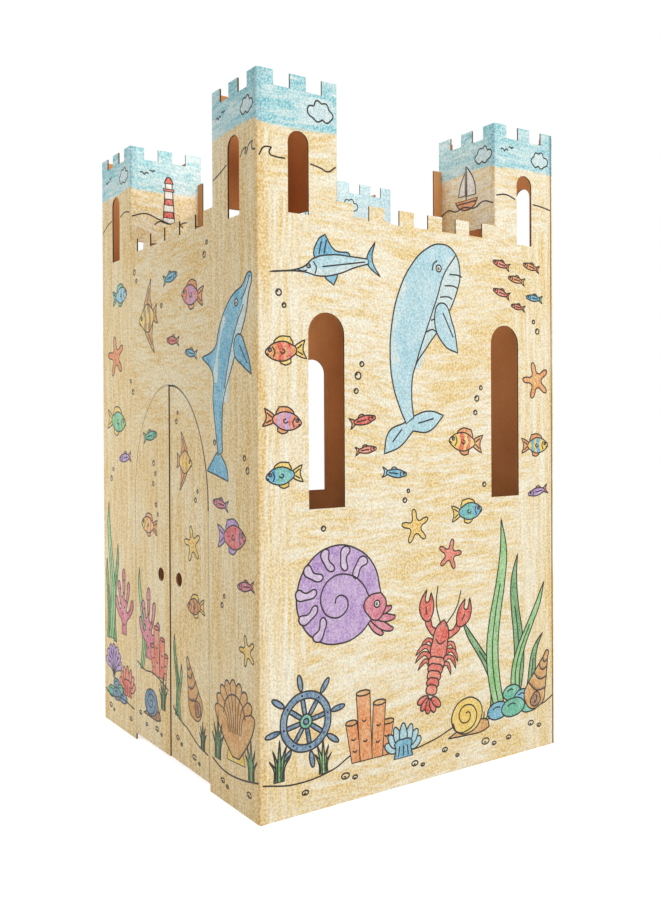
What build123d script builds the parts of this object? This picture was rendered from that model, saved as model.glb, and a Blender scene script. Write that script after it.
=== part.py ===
from build123d import *
import os

# Play castle of folded corrugated card, as it stands when set up.
# Millimetres. The origin is the middle of the castle's plan, on the floor.
# +Z is up, and the wall with the double door faces -Y.

# Plan and heights
castle_width = 670.0
castle_depth = 670.0
tower_side = 155.0
wall_height = 1006.0
tower_rise = 194.0

# Board and its bends
board = 3.0
bend_inner_radius = 0.5

# Crenellation: merlons and notches in turn, beginning and ending with a merlon
tower_merlon_count = 3
tower_notch_depth = 24.0
wall_merlon_count = 6
wall_notch_depth = 26.0

# Inner tower flaps, cut from the sheet above the walls and folded back
flap_cut = 1.0
flap_lip = 4.0
tail_length = 20.0
tail_height = 133.0
slot_clearance = 0.3

# Glue flaps inside the two seams
glue_flap_width = 27.0
glue_flap_taper = 10.0

# Arched double door
doorway_width = 326.0
doorway_straight = 485.0
doorway_rise = 225.0
leaf_floor_gap = 13.0
leaf_edge_gap = 0.8
leaf_slit = 1.0
crease_gap = 0.3
crease_crush_angle = 135.0
finger_hole_diameter = 26.0
finger_hole_inset = 38.0
finger_hole_height = 349.0
right_leaf_ajar_angle = 0.7

# Arched windows of the side walls, hung by their heads from the wall's top
window_width = 72.0
window_height = 324.0
window_from_middle = 204.0
right_window_below_top = 187.0
left_window_below_top = 214.0

# Small arched window in each outer face of each tower
tower_window_width = 40.0
tower_window_height = 134.0
tower_window_below_top = 90.0

# Worked out from the sizes above
bend_radius = board + bend_inner_radius
tower_height = wall_height + tower_rise
flap_bottom = wall_height + flap_cut
tail_top = flap_bottom + tail_height
slot_middle = flap_bottom + tail_height / 2
half_width = castle_width / 2
half_depth = castle_depth / 2
half_doorway = doorway_width / 2
crease_side = half_doorway - crease_gap / 2
up = Vector(0, 0, 1)

# Each wall's outer face, with x along the wall as seen from outside and y up
front_face = Plane((-half_width, -half_depth, 0), x_dir=(1, 0, 0), z_dir=(0, -1, 0))
right_face = Plane((half_width, -half_depth, 0), x_dir=(0, 1, 0), z_dir=(1, 0, 0))
back_face = Plane((half_width, half_depth, 0), x_dir=(-1, 0, 0), z_dir=(0, 1, 0))
left_face = Plane((-half_width, half_depth, 0), x_dir=(0, -1, 0), z_dir=(-1, 0, 0))


def even_edges(start, end, merlons):
    """Positions where merlons and notches of one equal width meet."""
    steps = 2 * merlons - 1
    return [start + (end - start) * i / steps for i in range(steps + 1)]


def crenel_line(edges, top, notch_depth):
    """Points along a crenellated top edge that begins with a merlon."""
    points = []
    for i in range(len(edges) - 1):
        level = top if i % 2 == 0 else top - notch_depth
        points.append((edges[i], level))
        points.append((edges[i + 1], level))
    return points


def tower_edges(first, last):
    """Crenel edges of one tower face, with the first and last moved to the board's own ends."""
    edges = even_edges(0, tower_side, tower_merlon_count)
    edges[0] = first
    edges[-1] = last
    return edges


def arched_hole(x, top, width, height):
    """Round-headed window outline whose head reaches up to top."""
    straight = height - width / 2
    spring = top - width / 2
    body = Pos(x, spring - straight / 2) * Rectangle(width, straight)
    head = Pos(x, spring) * Circle(width / 2)
    return body + head


def door_arch(half, straight, rise):
    """Doorway outline with a half-elliptical head, centred on x = 0 and standing on y = 0."""
    body = Pos(0, straight / 2) * Rectangle(2 * half, straight)
    head = Pos(0, straight) * Ellipse(half, rise)
    return body + head


def wall_sketch(length, first, last):
    """One wall laid flat: two tower faces and the lower crenellated wall between them."""
    left_tower = tower_edges(first, tower_side - bend_radius)
    right_tower = [length - edge for edge in reversed(tower_edges(length - last, tower_side - bend_radius))]
    middle = even_edges(tower_side, length - tower_side, wall_merlon_count)
    points = [(first, 0)]
    points += crenel_line(left_tower, tower_height, tower_notch_depth)
    points += [(left_tower[-1], wall_height)]
    points += crenel_line(middle, wall_height, wall_notch_depth)
    points += [(right_tower[0], wall_height)]
    points += crenel_line(right_tower, tower_height, tower_notch_depth)
    points += [(last, 0)]
    outline = make_face(Polyline(*points, close=True))
    window_top = tower_height - tower_window_below_top
    for x in (tower_side / 2, length - tower_side / 2):
        outline -= arched_hole(x, window_top, tower_window_width, tower_window_height)
    return outline


def panel(face, sketch):
    """Board with its outer side on the face's plane."""
    return extrude(face * sketch, amount=-board)


def bend(face, x, arrives, bottom, top):
    """Quarter-round bend at x along a wall. The board arrives from -x (1) or from +x (-1)."""
    corner = face.origin + face.x_dir * x + up * bottom
    plan = Plane(corner, x_dir=face.x_dir, z_dir=up)
    ring = Circle(bend_radius) - Circle(bend_radius - board)
    centre = Pos(-arrives * bend_radius, bend_radius)
    quarter = Pos(-arrives * bend_radius / 2, bend_radius / 2) * Rectangle(bend_radius, bend_radius)
    return extrude(plan * ((centre * ring) & quarter), amount=top - bottom)


def inward_face(face, x, faces):
    """Plane square to a wall at x, facing along it (1) or back along it (-1). y is up."""
    corner = face.origin + face.x_dir * x
    return Plane(corner, x_dir=face.z_dir * -faces, z_dir=face.x_dir * faces)


def plain_flap():
    """Tower flap with a slot cut up from its lower edge, drawn with x running inwards."""
    end = tower_side + flap_lip
    points = [(bend_radius, flap_bottom)]
    points += crenel_line(tower_edges(bend_radius, end), tower_height, tower_notch_depth)
    points += [(end, flap_bottom)]
    outline = make_face(Polyline(*points, close=True))
    slot_width = board + 2 * slot_clearance
    slot_height = slot_middle + slot_clearance - flap_bottom
    slot = Pos(tower_side - board / 2, flap_bottom + slot_height / 2) * Rectangle(slot_width, slot_height)
    return outline - slot


def tailed_flap():
    """Tower flap whose lower part runs on as a tail, with a slot cut down from the tail's top."""
    end = tower_side - board - slot_clearance
    points = [(bend_radius, flap_bottom)]
    points += crenel_line(tower_edges(bend_radius, end), tower_height, tower_notch_depth)
    points += [(end, flap_bottom)]
    outline = make_face(Polyline(*points, close=True))
    far_end = tower_side + tail_length
    tail = Pos((end + far_end) / 2, (flap_bottom + tail_top) / 2) * Rectangle(far_end - end, tail_height)
    slot_width = board + 2 * slot_clearance
    slot_bottom = slot_middle - slot_clearance
    slot_height = tail_top - slot_bottom
    slot = Pos(tower_side - board / 2, slot_bottom + slot_height / 2) * Rectangle(slot_width, slot_height)
    return outline + tail - slot


def tower_flap(face, x, side, sketch):
    """A flap and its bend. side is 1 on the tower at the wall's start and -1 on the one at its end."""
    plane = inward_face(face, x, side)
    drawn = sketch if side == 1 else mirror(sketch, about=Plane.YZ)
    return panel(plane, drawn) + bend(face, x, side, flap_bottom, tower_height)


def glue_flap(face, x):
    """Full-height flap glued behind the next wall, with its ends cut at a slant."""
    end = bend_radius + glue_flap_width
    points = [(bend_radius, 0), (end, glue_flap_taper)]
    points += [(end, tower_height - glue_flap_taper), (bend_radius, tower_height)]
    flap = panel(inward_face(face, x, 1), make_face(Polyline(*points, close=True)))
    return flap + bend(face, x, 1, 0, tower_height)


def double_window(length, below_top):
    """The pair of tall windows of a side wall."""
    holes = Sketch()
    for side in (-1, 1):
        x = length / 2 + side * window_from_middle
        holes += arched_hole(x, wall_height - below_top, window_width, window_height)
    return holes


def leaf_outline(side, margin):
    """A leaf's shape on the left (-1) or right (1) of the slit, grown towards the wall by a margin."""
    top = doorway_straight + doorway_rise
    bottom = leaf_floor_gap - margin
    edge_gap = leaf_edge_gap - margin
    slit_edge = leaf_slit / 2
    width = crease_side - slit_edge
    arch = door_arch(half_doorway - edge_gap, doorway_straight, doorway_rise - edge_gap)
    crease_top = doorway_straight - edge_gap
    straight = Pos(0, crease_top / 2) * Rectangle(2 * crease_side, crease_top)
    blank = Pos(side * (slit_edge + width / 2), (bottom + top) / 2) * Rectangle(width, top - bottom)
    return Pos(half_width, 0) * ((arch + straight) & blank)


def crease_axis(side):
    """Fold line of a leaf on the wall's outer face. A positive turn swings the leaf inwards."""
    return Axis((side * half_doorway, -half_depth, 0), (0, 0, -side))


def leaf_swing(side):
    """Space that a leaf sweeps as it swings inwards, which also crushes the board beside its crease."""
    outline = front_face * leaf_outline(side, leaf_edge_gap / 2)
    return revolve(outline, crease_axis(side), crease_crush_angle)


def crease_crush(side):
    """Prism that crushes the leaf's own board beside its crease."""
    corner = front_face.origin + front_face.x_dir * (half_width + side * crease_side)
    plan = Plane(corner, x_dir=front_face.x_dir, z_dir=up)
    deep = 2 * board
    triangle = Polyline((0, 0), (0, deep), (-side * deep, deep), close=True)
    return extrude(plan * make_face(triangle), amount=doorway_straight + doorway_rise)


def front_and_right_sheet():
    """Front wall and right wall, folded from one sheet at the corner between them."""
    doorway = door_arch(half_doorway, doorway_straight, doorway_rise)
    jambs = Pos(0, doorway_straight / 2) * Rectangle(doorway_width + crease_gap, doorway_straight)
    doorway = Pos(half_width, 0) * (doorway + jambs)
    front = wall_sketch(castle_width, 0, castle_width - bend_radius) - doorway
    right_end = castle_depth - board
    right = wall_sketch(castle_depth, bend_radius, right_end - bend_radius)
    right -= double_window(castle_depth, right_window_below_top)
    sheet = panel(front_face, front) + bend(front_face, castle_width, 1, 0, tower_height)
    sheet += panel(right_face, right) + glue_flap(right_face, right_end)
    sheet += tower_flap(front_face, tower_side, 1, plain_flap())
    sheet += tower_flap(front_face, castle_width - tower_side, -1, plain_flap())
    sheet += tower_flap(right_face, tower_side, 1, tailed_flap())
    sheet += tower_flap(right_face, castle_depth - tower_side, -1, plain_flap())
    for side in (-1, 1):
        sheet -= leaf_swing(side)
    return sheet


def back_and_left_sheet():
    """Back wall and left wall, folded from one sheet at the corner between them."""
    back = wall_sketch(castle_width, 0, castle_width - bend_radius)
    left_end = castle_depth - board
    left = wall_sketch(castle_depth, bend_radius, left_end - bend_radius)
    left -= double_window(castle_depth, left_window_below_top)
    sheet = panel(back_face, back) + bend(back_face, castle_width, 1, 0, tower_height)
    sheet += panel(left_face, left) + glue_flap(left_face, left_end)
    sheet += tower_flap(back_face, tower_side, 1, tailed_flap())
    sheet += tower_flap(back_face, castle_width - tower_side, -1, plain_flap())
    sheet += tower_flap(left_face, tower_side, 1, tailed_flap())
    sheet += tower_flap(left_face, castle_depth - tower_side, -1, tailed_flap())
    return sheet


def door_leaf(side, ajar):
    """Door leaf on the left (-1) or right (1) of the slit, turned inwards by the angle ajar."""
    hole = Pos(half_width + side * finger_hole_inset, finger_hole_height) * Circle(finger_hole_diameter / 2)
    solid = panel(front_face, leaf_outline(side, 0) - hole)
    solid -= crease_crush(side)
    return solid.rotate(crease_axis(side), ajar)


os.makedirs("parts", exist_ok=True)
nodes = {
    "front_and_right_sheet": front_and_right_sheet(),
    "back_and_left_sheet": back_and_left_sheet(),
    "left_door_leaf": door_leaf(-1, 0),
    "right_door_leaf": door_leaf(1, right_leaf_ajar_angle),
}
for name, shape in nodes.items():
    export_step(shape, "parts/" + name + ".step")
    print(name, round(shape.volume), shape.bounding_box())
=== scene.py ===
"""Looks of the folded play castle: pencilled card, kraft insides, inked pictures and a plain studio."""
import math

import bmesh
import bpy
from mathutils import Matrix, Vector


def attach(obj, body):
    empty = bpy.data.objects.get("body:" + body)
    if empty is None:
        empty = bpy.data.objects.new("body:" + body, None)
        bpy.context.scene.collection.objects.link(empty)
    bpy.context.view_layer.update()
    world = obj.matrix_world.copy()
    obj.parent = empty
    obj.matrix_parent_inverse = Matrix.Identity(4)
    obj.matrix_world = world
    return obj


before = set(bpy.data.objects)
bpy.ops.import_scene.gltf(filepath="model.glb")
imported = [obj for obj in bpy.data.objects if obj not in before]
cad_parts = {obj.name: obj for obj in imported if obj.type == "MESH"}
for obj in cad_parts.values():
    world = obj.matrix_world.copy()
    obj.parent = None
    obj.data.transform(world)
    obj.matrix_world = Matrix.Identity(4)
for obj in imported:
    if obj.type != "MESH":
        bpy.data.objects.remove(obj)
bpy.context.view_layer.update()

# Sizes of the castle in metres, and the angle at which the right leaf rests
HALF = 0.335
BOARD = 0.003
BEND = 0.0035
TOWER = 0.155
FLAP = HALF - TOWER
WALL_TOP = 1.006
FLUTE_PITCH = 0.0064
FLUTE_SWING = 0.0010
FLUTE_HALF = 0.0004
LINER_FROM = 0.0011
AJAR = math.radians(0.7)
CREASE = 0.163

# Slack where a shader tells one part of the board from another, in metres
SLACK = 0.0005
SKIN_SLACK = 0.0003
BEND_SLACK = 0.0001
CUT_SLACK = 0.00005

# Pencil strokes: stretch along each axis and sway in metres, what each layer adds, and the paper's tooth
LEVEL_STROKES = {"Stretch": (11, 11, 74), "Sway": 0.08}
UPRIGHT_STROKES = {"Stretch": (84, 84, 5), "Sway": 0.01}
PICTURE_STROKES = {"Stretch": (70, 70, 34), "Sway": 0.02}
BANDS_ADD = 0.9
LINES_ADD = 0.8
PATCHES_ADD = 0.4
TOOTH_ADD = 0.35
SWAY_SCALE = 4.0
PATCH_SCALE = 7.0
TOOTH_SCALE = 280.0
STROKE_RANGE = (1.0, 1.45)
TOOTH_RANGE = (0.35, 0.65)
BARE_PEAKS = 0.4
FULL_HOLLOWS = 0.5

# Where the strokes stand upright: from a distance to a side's middle on, and low on the front and the back
UPRIGHT_FRONT = 0.150
UPRIGHT_WALL = 0.235
UPRIGHT_TOWER = 0.300
UPRIGHT_BLEND = 0.03
UPRIGHT_LOW = (0.66, 0.58)
STROKE_WANDER = 0.16
WANDER_SCALE = 9.0
OUTER_FACES = 0.3

# Deeper strokes along the folds: distance from a side's middle, and their least and further share
FOLD = (0.312, 0.331)
FOLD_LEAST = 0.12
FOLD_STROKES = 0.8

# Lower edge of the sky: its level, its waves, its ragged strokes, and how much painted light pales the far
# left tower's sky
SKY_EDGE = (1.117, 1.123)
SHORE_WAVES = 17.0
SHORE_RISE = 0.005
RAG_SCALE = 140.0
RAG_RISE = 0.006
FAR_SKY_PAINTED_LIGHT = 0.65

# Bare kraft: grain and blotches, share of the washboard over the flutes, and the painted shade that darkens
# it towards the floor
FIBRE_STRETCH = (900, 900, 160)
BLOTCH_SCALE = 9.0
FIBRES_ADD = 0.5
BLOTCHES_ADD = 0.5
WASHBOARD_ADD = 0.03
LOW_SHADE = (0.15, 0.65)
LOW_SHADE_WANDER = 0.15


# Colours, as seen on the card
def srgb(red, green, blue):
    """Linear colour of a swatch in 0 to 255."""
    linear = []
    for value in (red, green, blue):
        share = value / 255
        linear.append(share / 12.92 if share <= 0.04045 else ((share + 0.055) / 1.055) ** 2.4)
    return (*linear, 1.0)


CREAM = srgb(250, 243, 222)
OCHRE = srgb(238, 205, 130)
OCHRE_DEEP = srgb(233, 189, 101)
CREAM_PEAK = srgb(251, 245, 222)
KRAFT = srgb(216, 156, 100)
KRAFT_DARK = srgb(194, 133, 80)
LINER = srgb(196, 160, 118)
# Painted shade in the hollows of the cut edges
HOLLOW_SHADE = srgb(50, 34, 22)
SKY = srgb(120, 206, 220)
SKY_DEEP = srgb(88, 181, 204)
SKY_PALE = srgb(214, 240, 243)
# Sky paled by painted light on the far left tower
SKY_PAINTED_LIGHT = srgb(206, 237, 250)
PAPER = srgb(253, 249, 238)
INK = srgb(24, 19, 16)
INK_WORN = srgb(60, 51, 43)
WHITE = srgb(247, 244, 236)
SKY_WHITE = srgb(216, 238, 242)
LIGHT_BLUE = srgb(190, 227, 238)
BLUE = srgb(110, 192, 222)
PALE_BLUE = srgb(214, 234, 236)
GREY_BLUE = srgb(104, 150, 184)
TEAL = srgb(102, 202, 176)
GREEN = srgb(158, 214, 146)
DARK_GREEN = srgb(104, 176, 108)
RED = srgb(232, 100, 76)
CORAL = srgb(240, 148, 120)
ORANGE = srgb(238, 166, 92)
YELLOW = srgb(248, 218, 110)
OCHRE_RED = srgb(226, 176, 98)
BROWN = srgb(174, 130, 84)
PURPLE = srgb(198, 165, 220)
LILAC = srgb(220, 198, 232)
PINK = srgb(224, 128, 154)

# What is left of a colour under the painted shade low in the castle, deep in the paper's grain, and on the
# front and the back
KRAFT_LOW_SHADE = (0.42, 0.4, 0.4, 1.0)
GRAIN = (0.57, 0.52, 0.43, 1.0)
OCHRE_WASH = srgb(248, 238, 216)


# Shader helpers
def connect(tree, socket, value):
    """Links another node's output to a socket, or sets the socket's own value."""
    if isinstance(value, bpy.types.NodeSocket):
        tree.links.new(value, socket)
    else:
        socket.default_value = value


def node(tree, kind, inputs=None, **settings):
    """Adds a shader node with its settings, and fills its inputs."""
    made = tree.nodes.new("ShaderNode" + kind)
    for name, value in settings.items():
        setattr(made, name, value)
    for name, value in (inputs or {}).items():
        connect(tree, made.inputs[name], value)
    return made


def calc(tree, operation, first, second=0.0):
    """Value of one sum."""
    return node(tree, "Math", {0: first, 1: second}, operation=operation).outputs[0]


def step(tree, value, low, high):
    """Smooth step from 0 to 1 as a value goes from low to high."""
    inputs = {"Value": value, "From Min": low, "From Max": high}
    return node(tree, "MapRange", inputs, interpolation_type="SMOOTHSTEP").outputs["Result"]


def clear_view(tree):
    """1 where a surface is seen straight or in a reflection, and 0 where it only lights the card."""
    path = node(tree, "LightPath").outputs
    mirrored = calc(tree, "MAXIMUM", path["Is Glossy Ray"], path["Is Transmission Ray"])
    return calc(tree, "MAXIMUM", path["Is Camera Ray"], mirrored)


def between(tree, value, low, high):
    """1 where a value lies between two levels, and 0 elsewhere."""
    above = calc(tree, "GREATER_THAN", value, low)
    below = calc(tree, "LESS_THAN", value, high)
    return calc(tree, "MULTIPLY", above, below)


def opposite(tree, share):
    """What a share leaves of 1."""
    return calc(tree, "SUBTRACT", 1.0, share)


def about_zero(tree, value, reach):
    """Noise moved to lie about zero, and scaled to a reach."""
    return calc(tree, "MULTIPLY", calc(tree, "SUBTRACT", value, 0.5), reach)


def weighed_sum(tree, *layers):
    """Sum of values, each times its weight."""
    parts = [calc(tree, "MULTIPLY", value, weight) for value, weight in layers]
    total = parts[0]
    for part in parts[1:]:
        total = calc(tree, "ADD", total, part)
    return total


def mix_value(tree, share, first, second):
    """Value between two, by a share from 0 to 1."""
    return node(tree, "Mix", {0: share, 2: first, 3: second}, data_type="FLOAT").outputs[0]


def mix_colour(tree, share, first, second, blend="MIX"):
    """Colour between two, by a share from 0 to 1, or the second laid over the first in another way."""
    inputs = {0: share, 6: first, 7: second}
    return node(tree, "Mix", inputs, data_type="RGBA", blend_type=blend).outputs[2]


def noise(tree, vector, scale, detail=2.0, distortion=0.0):
    """Noise value from 0 to 1."""
    inputs = {"Vector": vector, "Scale": scale, "Detail": detail, "Distortion": distortion}
    return node(tree, "TexNoise", inputs).outputs["Fac"]


def new_group(name, inputs, outputs):
    """Empty shader group. inputs and outputs map labels to socket types."""
    group = bpy.data.node_groups.new(name, "ShaderNodeTree")
    for label, kind in inputs.items():
        group.interface.new_socket(label, in_out="INPUT", socket_type="NodeSocket" + kind)
    for label, kind in outputs.items():
        group.interface.new_socket(label, in_out="OUTPUT", socket_type="NodeSocket" + kind)
    return group, group.nodes.new("NodeGroupInput").outputs, group.nodes.new("NodeGroupOutput").inputs


def place_group(tree, group, inputs):
    """Places a shader group in a tree with its own values. Returns its outputs."""
    made = tree.nodes.new("ShaderNodeGroup")
    made.node_tree = group
    for name, value in inputs.items():
        connect(tree, made.inputs[name], value)
    return made.outputs


# Shader groups that several finishes share
def build_pencil_strokes():
    """Pencil strokes along the least stretched way, wandering by Sway metres, over the paper's tooth."""
    inputs = {"Vector": "Vector", "Stretch": "Vector", "Sway": "Float"}
    group, given, out = new_group("pencil strokes", inputs, {"Strokes": "Float", "Tooth": "Float"})
    aside = about_zero(group, noise(group, given["Vector"], SWAY_SCALE, 1.0), given["Sway"])
    wandering = node(group, "VectorMath", {0: given["Vector"], 1: aside}, operation="ADD").outputs[0]
    along = node(group, "VectorMath", {0: wandering, 1: given["Stretch"]}, operation="MULTIPLY").outputs[0]
    patches = noise(group, given["Vector"], PATCH_SCALE, 1.0)
    bands = noise(group, along, 1.0, 2.0, 0.6)
    lines = noise(group, along, 3.0, 3.0, 0.4)
    tooth = noise(group, given["Vector"], TOOTH_SCALE, 2.0)
    connect(group, out["Tooth"], step(group, tooth, *TOOTH_RANGE))
    layers = ((bands, BANDS_ADD), (lines, LINES_ADD), (patches, PATCHES_ADD), (tooth, TOOTH_ADD))
    connect(group, out["Strokes"], step(group, weighed_sum(group, *layers), *STROKE_RANGE))
    return group


def build_kraft():
    """Colour and height of bare kraft: fibres, the flutes' washboard, and painted shade that darkens it
    towards the floor.
    """
    group, given, out = new_group("kraft liner", {"Vector": "Vector"}, {"Color": "Color", "Height": "Float"})
    place = node(group, "SeparateXYZ", {0: given["Vector"]}).outputs
    stretched = node(group, "VectorMath", {0: given["Vector"], 1: FIBRE_STRETCH}, operation="MULTIPLY")
    fibres = noise(group, stretched.outputs[0], 1.0, 3.0)
    blotches = noise(group, given["Vector"], BLOTCH_SCALE, 3.0)
    run = calc(group, "ADD", place["X"], place["Y"])
    washboard = calc(group, "SINE", calc(group, "MULTIPLY", run, 2 * math.pi / FLUTE_PITCH))
    tone = weighed_sum(group, (fibres, FIBRES_ADD), (blotches, BLOTCHES_ADD), (washboard, WASHBOARD_ADD))
    clean = mix_colour(group, step(group, tone, 0.3, 0.7), KRAFT_DARK, KRAFT)
    # Painted shade: the kraft grows darker towards the floor, along an edge that wanders with the blotches
    wander = about_zero(group, blotches, LOW_SHADE_WANDER)
    shaded_low = opposite(group, step(group, calc(group, "ADD", place["Z"], wander), *LOW_SHADE))
    connect(group, out["Color"], mix_colour(group, shaded_low, clean, KRAFT_LOW_SHADE, "MULTIPLY"))
    connect(group, out["Height"], calc(group, "ADD", fibres, washboard))
    return group


def build_cut_edge():
    """Board's thickness: two liners with the flute between them, wavy from above and hollow from the side,
    where the card paints shade.
    """
    inputs = {"Vector": "Vector", "Normal": "Vector"}
    group, given, out = new_group("cut edge", inputs, {"Cut": "Float", "Paper": "Float"})
    place = node(group, "SeparateXYZ", {0: given["Vector"]}).outputs
    facing = node(group, "SeparateXYZ", {0: given["Normal"]}).outputs
    raised = calc(group, "GREATER_THAN", place["Z"], WALL_TOP + SLACK)
    cut, across = {}, {}
    for axis in "XY":
        size = calc(group, "ABSOLUTE", place[axis])
        wall = calc(group, "GREATER_THAN", size, HALF - BOARD - CUT_SLACK)
        in_flap = between(group, size, FLAP - CUT_SLACK, FLAP + BOARD + CUT_SLACK)
        flap = calc(group, "MULTIPLY", raised, in_flap)
        square = calc(group, "LESS_THAN", calc(group, "ABSOLUTE", facing[axis]), 0.5)
        cut[axis] = calc(group, "MULTIPLY", square, calc(group, "MAXIMUM", wall, flap))
        middle = mix_value(group, flap, HALF - BOARD / 2, FLAP + BOARD / 2)
        across[axis] = calc(group, "SUBTRACT", size, middle)
    deep = mix_value(group, cut["X"], across["Y"], across["X"])
    along = mix_value(group, cut["X"], place["X"], place["Y"])
    wave = calc(group, "SINE", calc(group, "MULTIPLY", along, 2 * math.pi / FLUTE_PITCH))
    flute = calc(group, "SUBTRACT", deep, calc(group, "MULTIPLY", wave, FLUTE_SWING))
    on_flute = calc(group, "LESS_THAN", calc(group, "ABSOLUTE", flute), FLUTE_HALF)
    from_above = calc(group, "GREATER_THAN", calc(group, "ABSOLUTE", facing["Z"]), 0.7)
    liner = calc(group, "GREATER_THAN", calc(group, "ABSOLUTE", deep), LINER_FROM)
    connect(group, out["Paper"], calc(group, "MAXIMUM", liner, calc(group, "MULTIPLY", from_above, on_flute)))
    connect(group, out["Cut"], calc(group, "MAXIMUM", cut["X"], cut["Y"]))
    return group


pencil_strokes = build_pencil_strokes()
kraft = build_kraft()
cut_edge = build_cut_edge()


# Finishes
def new_material(name):
    """Material with only its shader in its tree. Returns the material, the tree and the shader."""
    material = bpy.data.materials.new(name)
    material.use_nodes = True
    tree = material.node_tree
    shader = tree.nodes["Principled BSDF"]
    return material, tree, shader


def add_bump(tree, shader, height):
    """Faint relief of the paper."""
    bump = node(tree, "Bump", {"Height": height, "Strength": 0.12, "Distance": 0.0004})
    connect(tree, shader.inputs["Normal"], bump.outputs["Normal"])


def drawn_side(tree, position, normal):
    """1 on every printed face of the sheets: the walls' outer sides and the folded flaps."""
    place = node(tree, "SeparateXYZ", {0: position}).outputs
    facing = node(tree, "SeparateXYZ", {0: normal}).outputs
    size = {axis: calc(tree, "ABSOLUTE", place[axis]) for axis in "XY"}
    outward = {axis: calc(tree, "MULTIPLY", facing[axis], calc(tree, "SIGN", place[axis])) for axis in "XY"}
    raised = calc(tree, "GREATER_THAN", place["Z"], WALL_TOP + SLACK)
    faces = {}
    for axis in "XY":
        near_skin = calc(tree, "GREATER_THAN", size[axis], HALF - BEND - SKIN_SLACK)
        wall = calc(tree, "MULTIPLY", near_skin, calc(tree, "GREATER_THAN", outward[axis], 0.5))
        near_flap = between(tree, size[axis], FLAP - SLACK, FLAP + BEND + BEND_SLACK)
        flap = calc(tree, "MULTIPLY", near_flap, calc(tree, "LESS_THAN", outward[axis], -0.5))
        faces[axis] = (wall, calc(tree, "MULTIPLY", flap, raised))
    walls = calc(tree, "MAXIMUM", faces["X"][0], faces["Y"][0])
    flaps = calc(tree, "MAXIMUM", faces["X"][1], faces["Y"][1])
    return calc(tree, "MAXIMUM", walls, flaps)


def over_tooth(tree, colour, tooth, peak, bare):
    """Pencil colour over the paper's tooth: thick in its hollows, and a share of bare peaks in their own."""
    hollows = calc(tree, "MULTIPLY", opposite(tree, tooth), FULL_HOLLOWS)
    thick = mix_colour(tree, hollows, colour, GRAIN, "MULTIPLY")
    return mix_colour(tree, calc(tree, "MULTIPLY", tooth, bare), thick, peak)


def upright_share(tree, place, faces_x, wide, wobble, on_wall):
    """Share of upright strokes: beside the corners, and low on the front and the back."""
    on_tower = calc(tree, "GREATER_THAN", place["Z"], WALL_TOP)
    side_edge = mix_value(tree, on_tower, UPRIGHT_WALL, UPRIGHT_TOWER)
    inner_edge = mix_value(tree, faces_x, UPRIGHT_FRONT, side_edge)
    past_edge = calc(tree, "SUBTRACT", calc(tree, "ADD", wide, wobble), inner_edge)
    beside = calc(tree, "MULTIPLY", step(tree, past_edge, 0.0, UPRIGHT_BLEND), on_wall)
    low = step(tree, calc(tree, "ADD", place["Z"], wobble), *UPRIGHT_LOW)
    return calc(tree, "MAXIMUM", beside, calc(tree, "MULTIPLY", low, opposite(tree, faces_x)))


def sky_share(tree, position, place, along):
    """1 in the towers' sky, with a wavy and ragged lower edge."""
    shore = calc(tree, "MULTIPLY", calc(tree, "SINE", calc(tree, "MULTIPLY", along, SHORE_WAVES)), SHORE_RISE)
    rag = calc(tree, "MULTIPLY", noise(tree, position, RAG_SCALE), RAG_RISE)
    height = calc(tree, "ADD", calc(tree, "ADD", place["Z"], shore), rag)
    return step(tree, height, *SKY_EDGE)


def pencilled_card(tree, position, normal):
    """Colour and tooth of the printed side: ochre strokes on cream, and sky on the towers."""
    place = node(tree, "SeparateXYZ", {0: position}).outputs
    facing = node(tree, "SeparateXYZ", {0: normal}).outputs
    faces_x = calc(tree, "GREATER_THAN", calc(tree, "ABSOLUTE", facing["X"]), 0.707)
    along = mix_value(tree, faces_x, place["X"], place["Y"])
    outward = mix_value(tree, faces_x, place["Y"], place["X"])
    on_wall = calc(tree, "GREATER_THAN", calc(tree, "ABSOLUTE", outward), OUTER_FACES)
    wide = calc(tree, "ABSOLUTE", along)
    wobble = about_zero(tree, noise(tree, position, WANDER_SCALE), STROKE_WANDER)
    level = place_group(tree, pencil_strokes, {"Vector": position, **LEVEL_STROKES})
    upright = place_group(tree, pencil_strokes, {"Vector": position, **UPRIGHT_STROKES})
    turned = upright_share(tree, place, faces_x, wide, wobble, on_wall)
    ground = mix_colour(tree, mix_value(tree, turned, level["Strokes"], upright["Strokes"]), CREAM, OCHRE)
    washed = calc(tree, "MULTIPLY", on_wall, opposite(tree, faces_x))
    ground = mix_colour(tree, washed, ground, OCHRE_WASH, "MULTIPLY")
    fold_strokes = calc(tree, "ADD", calc(tree, "MULTIPLY", upright["Strokes"], FOLD_STROKES), FOLD_LEAST)
    at_fold = calc(tree, "MULTIPLY", step(tree, wide, *FOLD), fold_strokes)
    ground = mix_colour(tree, at_fold, ground, OCHRE_DEEP)
    sky = mix_colour(tree, level["Strokes"], SKY_PALE, SKY)
    sky = mix_colour(tree, at_fold, sky, SKY_DEEP)
    # Painted light: the sky is paler on the far left tower
    left = calc(tree, "LESS_THAN", place["X"], 0.0)
    far_left = calc(tree, "MULTIPLY", left, calc(tree, "GREATER_THAN", place["Y"], 0.0))
    sky = mix_colour(tree, calc(tree, "MULTIPLY", far_left, FAR_SKY_PAINTED_LIGHT), sky, SKY_PAINTED_LIGHT)
    in_sky = sky_share(tree, position, place, along)
    peak = mix_colour(tree, in_sky, CREAM_PEAK, PAPER)
    pencilled = mix_colour(tree, in_sky, ground, sky)
    return over_tooth(tree, pencilled, level["Tooth"], peak, BARE_PEAKS), level["Tooth"]


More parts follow.
